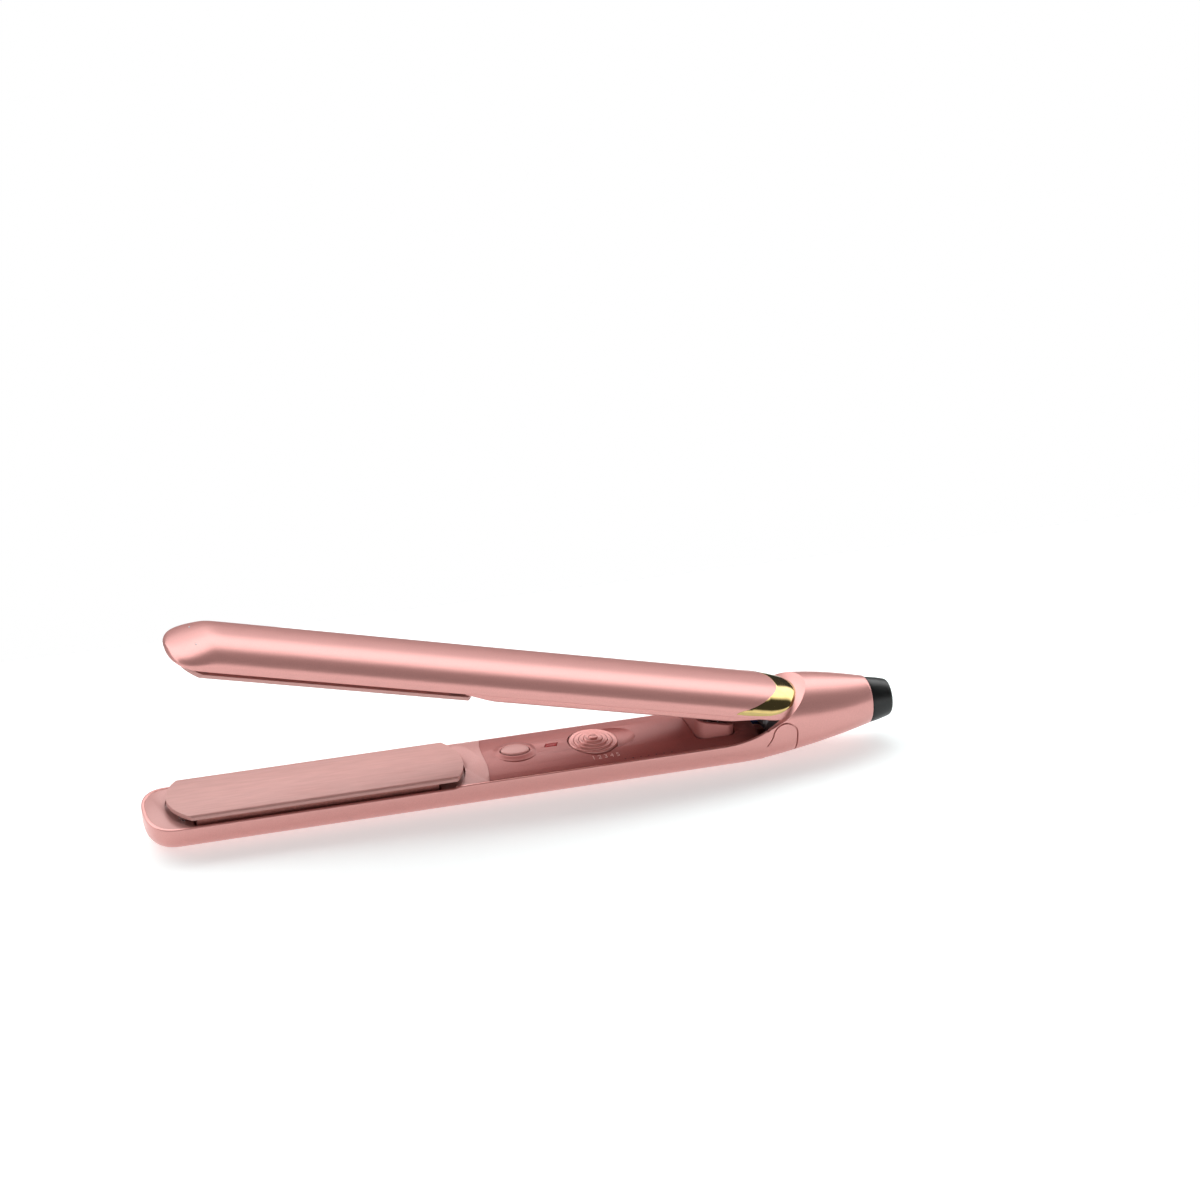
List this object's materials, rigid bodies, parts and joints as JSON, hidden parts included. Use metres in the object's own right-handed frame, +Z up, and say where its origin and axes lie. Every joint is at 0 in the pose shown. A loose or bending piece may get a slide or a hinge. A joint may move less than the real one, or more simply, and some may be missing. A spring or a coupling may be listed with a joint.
{
  "type": "flat iron",
  "caption": "Slim hair straightener with two long arms hinged at the cord end, floating ceramic plates, power button, temperature dial and swivelling cord gland.",
  "frame": {"origin": "centre of the bounding box in plan, on the surface the lower arm lies on", "axes": "+X from the plate tips to the cord end, +Y across the arms, +Z up"},
  "size_m": [0.285, 0.033, 0.0813],
  "materials": {
    "rose_lacquer": "satin pearl lacquer",
    "inner_rose": "satin pearl lacquer, darker",
    "rose_ceramic": "satin ceramic coating",
    "gold": "polished",
    "soft_black": "satin",
    "steel": "bright",
    "spring_steel": "bright",
    "frame_plastic": "matte",
    "carrier_plastic": "matte, glass filled",
    "heater_ceramic": "matte fired ceramic",
    "film": "gloss film",
    "board": "solder mask",
    "black_plastic": "matte",
    "pot_plastic": "matte",
    "red_lens": "gloss, translucent",
    "led_epoxy": "gloss",
    "wire_red": "silicone sheath",
    "wire_blue": "silicone sheath",
    "contact_brass": "satin",
    "bush_plastic": "natural acetal",
    "sensor_glass": "gloss bead",
    "bracket_metal": "die cast"
  },
  "bodies": {
    "base": {"lower_shell": "rose_lacquer", "lower_plate_frame": "frame_plastic", "control_panel": "inner_rose", "rear_collar": "rose_lacquer", "hinge_pin": "steel", "hinge_cap_near": "rose_lacquer", "hinge_cap_far": "rose_lacquer", "spring_housing": "inner_rose", "opening_spring": "spring_steel", "main_board": "board", "board_components": "black_plastic", "button_switch": "black_plastic", "dial_potentiometer": "pot_plastic", "indicator_lens": "red_lens", "indicator_led": "led_epoxy", "board_screws": "steel", "lower_frame_screws": "steel", "lower_float_springs": "spring_steel", "lower_heater_leads": "wire_red", "mains_leads": "wire_blue", "brush_holder": "black_plastic", "slip_ring_brushes": "contact_brass", "swivel_bush": "bush_plastic"},
    "upper_arm": {"upper_shell": "rose_lacquer", "upper_plate_frame": "frame_plastic", "upper_inner_cover": "inner_rose", "hinge_bracket": "bracket_metal", "bracket_screws": "steel", "gold_trim": "gold", "upper_frame_screws": "steel", "upper_float_springs": "spring_steel", "upper_heater_leads": "wire_red"},
    "lower_plate_group": {"lower_plate": "rose_ceramic", "lower_plate_carrier": "carrier_plastic", "lower_heater": "heater_ceramic", "lower_insulation": "film", "lower_thermistor": "sensor_glass", "lower_thermal_fuse": "steel"},
    "upper_plate_group": {"upper_plate": "rose_ceramic", "upper_plate_carrier": "carrier_plastic", "upper_heater": "heater_ceramic", "upper_insulation": "film", "upper_thermistor": "sensor_glass", "upper_thermal_fuse": "steel"},
    "button": {"power_button": "rose_lacquer"},
    "dial": {"temperature_dial": "rose_lacquer"},
    "cord_swivel": {"cord_gland": "soft_black", "slip_rings": "contact_brass", "retaining_clip": "steel"}
  },
  "joints": [
    {"name": "arm_hinge", "type": "hinge", "parent": "base", "child": "upper_arm", "pos_m": [0.0952, 0, 0.0133], "axis": [0, -1, 0], "range_deg": [0, 13.75], "stiffness_Nm_per_rad": 0.72, "springref_deg": -24.06, "deforming": ["opening_spring"]},
    {"name": "lower_plate_float", "type": "slide", "parent": "base", "child": "lower_plate_group", "axis": [0, 0, -1], "range_m": [0, 0.001], "stiffness_N_per_m": 4000, "springref_m": -0.001, "deforming": ["lower_float_springs"]},
    {"name": "upper_plate_float", "type": "slide", "parent": "upper_arm", "child": "upper_plate_group", "axis": [0.2377, 0, 0.9713], "range_m": [0, 0.001], "stiffness_N_per_m": 4000, "springref_m": -0.001, "deforming": ["upper_float_springs"]},
    {"name": "power_button_press", "type": "slide", "parent": "base", "child": "button", "axis": [0, 0, -1], "range_m": [0, 0.0008], "stiffness_N_per_m": 1500, "springref_m": -0.0005},
    {"name": "temperature_dial_turn", "type": "hinge", "parent": "base", "child": "dial", "pos_m": [0.0249, -0.0003, 0.0142], "axis": [0, 0, 1], "range_deg": [-135, 135]},
    {"name": "cord_swivel_turn", "type": "hinge", "parent": "base", "child": "cord_swivel", "pos_m": [0.135, 0, 0.0144], "axis": [1, 0, 0], "continuous": true}
  ]
}
